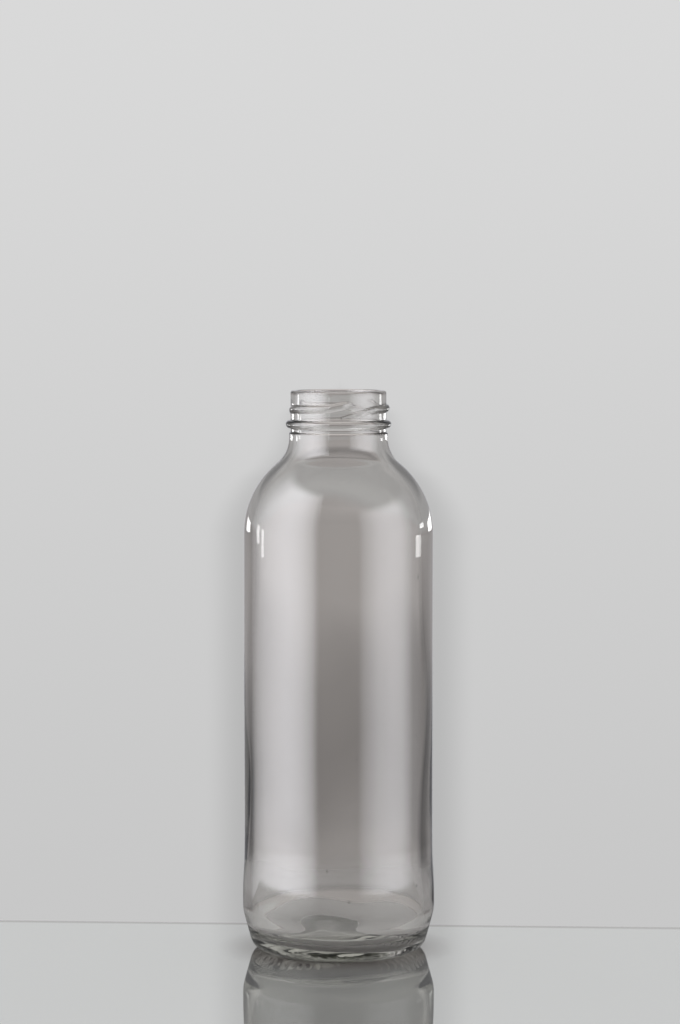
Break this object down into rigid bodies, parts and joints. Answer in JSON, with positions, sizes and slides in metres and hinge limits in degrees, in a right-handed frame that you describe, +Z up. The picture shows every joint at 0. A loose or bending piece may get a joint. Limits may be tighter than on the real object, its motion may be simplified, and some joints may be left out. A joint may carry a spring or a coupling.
{
  "type": "glass bottle",
  "caption": "Clear wide-mouth glass bottle with interrupted screw lugs and a bead under the rim, a round shoulder, a straight body and a domed base, for milk or juice.",
  "frame": {"origin": "centre of the ring that the bottle stands on", "axes": "+Z up the bottle's axis towards the mouth; -Y is the side that faces the camera in the picture"},
  "size_m": [0.0886, 0.0886, 0.2577],
  "materials": {
    "clear_glass": "clear flint soda-lime glass, fire-polished"
  },
  "bodies": {
    "root": {"glass_bottle": "clear_glass"}
  },
  "joints": []
}
